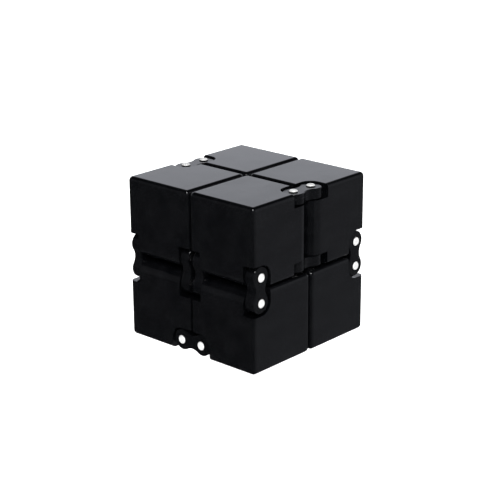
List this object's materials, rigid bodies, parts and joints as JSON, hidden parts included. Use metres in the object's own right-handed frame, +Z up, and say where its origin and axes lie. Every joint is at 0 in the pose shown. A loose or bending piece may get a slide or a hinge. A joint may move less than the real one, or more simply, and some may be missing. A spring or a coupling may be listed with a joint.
{
  "type": "folding fidget cube",
  "caption": "Folding desk toy: hollow glossy blocks joined in a ring by two-pin link hinges, folded into one cube that opens like a book and turns inside out.",
  "frame": {"origin": "on the surface that the folded cube stands on, under the cube's middle", "axes": "+Z up; front is -Y, with the two front hinges along X at mid height; right is +X, with an upright hinge in the top half of the left and right sides; two hinges run along Y underneath"},
  "size_m": [0.04, 0.04, 0.04],
  "materials": {
    "block_plastic": "glossy black moulded plastic",
    "cover_plastic": "glossy black moulded plastic",
    "link_plastic": "glossy black moulded plastic",
    "pin_steel": "bright turned steel"
  },
  "bodies": {
    "top_front_left_block": {"top_front_left_shell": "block_plastic", "top_front_left_cover": "cover_plastic"},
    "top_front_right_block": {"top_front_right_shell": "block_plastic", "top_front_right_cover": "cover_plastic"},
    "top_rear_left_block": {"top_rear_left_shell": "block_plastic", "top_rear_left_cover": "cover_plastic"},
    "top_rear_right_block": {"top_rear_right_shell": "block_plastic", "top_rear_right_cover": "cover_plastic"},
    "bottom_front_left_block": {"bottom_front_left_shell": "block_plastic", "bottom_front_left_cover": "cover_plastic"},
    "bottom_front_right_block": {"bottom_front_right_shell": "block_plastic", "bottom_front_right_cover": "cover_plastic"},
    "bottom_rear_left_block": {"bottom_rear_left_shell": "block_plastic", "bottom_rear_left_cover": "cover_plastic"},
    "bottom_rear_right_block": {"bottom_rear_right_shell": "block_plastic", "bottom_rear_right_cover": "cover_plastic"},
    "left_side_hinge": {"left_side_inner_link": "link_plastic", "left_side_outer_link": "link_plastic", "left_side_front_pin": "pin_steel", "left_side_rear_pin": "pin_steel"},
    "front_left_hinge": {"front_left_inner_link": "link_plastic", "front_left_outer_link": "link_plastic", "front_left_bottom_pin": "pin_steel", "front_left_top_pin": "pin_steel"},
    "rear_left_hinge": {"rear_left_inner_link": "link_plastic", "rear_left_outer_link": "link_plastic", "rear_left_bottom_pin": "pin_steel", "rear_left_top_pin": "pin_steel"},
    "right_side_hinge": {"right_side_inner_link": "link_plastic", "right_side_outer_link": "link_plastic", "right_side_front_pin": "pin_steel", "right_side_rear_pin": "pin_steel"},
    "front_right_hinge": {"front_right_inner_link": "link_plastic", "front_right_outer_link": "link_plastic", "front_right_bottom_pin": "pin_steel", "front_right_top_pin": "pin_steel"},
    "rear_right_hinge": {"rear_right_inner_link": "link_plastic", "rear_right_outer_link": "link_plastic", "rear_right_bottom_pin": "pin_steel", "rear_right_top_pin": "pin_steel"},
    "bottom_front_hinge": {"bottom_front_inner_link": "link_plastic", "bottom_front_outer_link": "link_plastic", "bottom_front_left_pin": "pin_steel", "bottom_front_right_pin": "pin_steel"},
    "bottom_rear_left_half_hinge": {"bottom_rear_inner_link_left_half": "link_plastic", "bottom_rear_outer_link_left_half": "link_plastic", "bottom_rear_left_pin": "pin_steel"},
    "bottom_rear_right_half_hinge": {"bottom_rear_inner_link_right_half": "link_plastic", "bottom_rear_outer_link_right_half": "link_plastic", "bottom_rear_right_pin": "pin_steel"}
  },
  "joints": [
    {"name": "side_fold_front", "type": "hinge", "parent": "top_front_right_block", "child": "right_side_hinge", "pos_m": [0.01715, -0.0031, 0.03012], "axis": [0, 0, -1], "range_deg": [0, 90]},
    {"name": "side_fold_rear", "type": "hinge", "parent": "right_side_hinge", "child": "top_rear_right_block", "pos_m": [0.01715, 0.0031, 0.03012], "axis": [0, 0, -1], "range_deg": [0, 90]},
    {"name": "front_row_fold", "type": "hinge", "parent": "top_front_right_block", "child": "front_right_hinge", "pos_m": [0.01013, -0.01715, 0.0231], "axis": [-1, 0, 0], "range_deg": [0, 90]},
    {"name": "front_right_bottom_pivot", "type": "hinge", "parent": "front_right_hinge", "child": "bottom_front_right_block", "pos_m": [0.01013, -0.01715, 0.0169], "axis": [-1, 0, 0], "range_deg": [0, 90]},
    {"name": "rear_row_fold", "type": "hinge", "parent": "top_rear_right_block", "child": "rear_right_hinge", "pos_m": [0.01013, 0.01715, 0.0231], "axis": [1, 0, 0], "range_deg": [0, 90]},
    {"name": "rear_right_bottom_pivot", "type": "hinge", "parent": "rear_right_hinge", "child": "bottom_rear_right_block", "pos_m": [0.01013, 0.01715, 0.0169], "axis": [1, 0, 0], "range_deg": [0, 90]},
    {"name": "halves_fold", "type": "hinge", "parent": "bottom_front_right_block", "child": "bottom_front_hinge", "pos_m": [0.0031, -0.01013, 0.00285], "axis": [0, -1, 0], "range_deg": [0, 90]},
    {"name": "bottom_front_left_pivot", "type": "hinge", "parent": "bottom_front_hinge", "child": "bottom_front_left_block", "pos_m": [-0.0031, -0.01013, 0.00285], "axis": [0, -1, 0], "range_deg": [0, 90]},
    {"name": "front_left_bottom_pivot", "type": "hinge", "parent": "bottom_front_left_block", "child": "front_left_hinge", "pos_m": [-0.01013, -0.01715, 0.0169], "axis": [1, 0, 0], "range_deg": [0, 90]},
    {"name": "front_left_top_pivot", "type": "hinge", "parent": "front_left_hinge", "child": "top_front_left_block", "pos_m": [-0.01013, -0.01715, 0.0231], "axis": [1, 0, 0], "range_deg": [0, 90]},
    {"name": "left_side_front_pivot", "type": "hinge", "parent": "top_front_left_block", "child": "left_side_hinge", "pos_m": [-0.01715, -0.0031, 0.03012], "axis": [0, 0, 1], "range_deg": [0, 90]},
    {"name": "left_side_rear_pivot", "type": "hinge", "parent": "left_side_hinge", "child": "top_rear_left_block", "pos_m": [-0.01715, 0.0031, 0.03012], "axis": [0, 0, 1], "range_deg": [0, 90]},
    {"name": "rear_left_top_pivot", "type": "hinge", "parent": "top_rear_left_block", "child": "rear_left_hinge", "pos_m": [-0.01013, 0.01715, 0.0231], "axis": [1, 0, 0], "range_deg": [0, 90]},
    {"name": "rear_left_bottom_pivot", "type": "hinge", "parent": "rear_left_hinge", "child": "bottom_rear_left_block", "pos_m": [-0.01013, 0.01715, 0.0169], "axis": [1, 0, 0], "range_deg": [0, 90]},
    {"name": "bottom_rear_left_pivot", "type": "hinge", "parent": "bottom_rear_left_block", "child": "bottom_rear_left_half_hinge", "pos_m": [-0.0031, 0.01013, 0.00285], "axis": [0, 1, 0], "range_deg": [0, 90]},
    {"name": "bottom_rear_right_pivot", "type": "hinge", "parent": "bottom_rear_right_block", "child": "bottom_rear_right_half_hinge", "pos_m": [0.0031, 0.01013, 0.00285], "axis": [0, -1, 0], "range_deg": [0, 90]}
  ],
  "couplings": [
    {"joint": "front_right_bottom_pivot", "follows": "front_row_fold", "ratio": 1},
    {"joint": "front_left_bottom_pivot", "follows": "front_row_fold", "ratio": 1},
    {"joint": "front_left_top_pivot", "follows": "front_row_fold", "ratio": 1},
    {"joint": "rear_right_bottom_pivot", "follows": "rear_row_fold", "ratio": 1},
    {"joint": "rear_left_top_pivot", "follows": "rear_row_fold", "ratio": 1},
    {"joint": "rear_left_bottom_pivot", "follows": "rear_row_fold", "ratio": 1},
    {"joint": "bottom_front_left_pivot", "follows": "halves_fold", "ratio": 1},
    {"joint": "bottom_rear_left_pivot", "follows": "halves_fold", "ratio": 1},
    {"joint": "bottom_rear_right_pivot", "follows": "halves_fold", "ratio": 1},
    {"joint": "left_side_front_pivot", "follows": "side_fold_front", "ratio": 1},
    {"joint": "left_side_rear_pivot", "follows": "side_fold_rear", "ratio": 1}
  ]
}
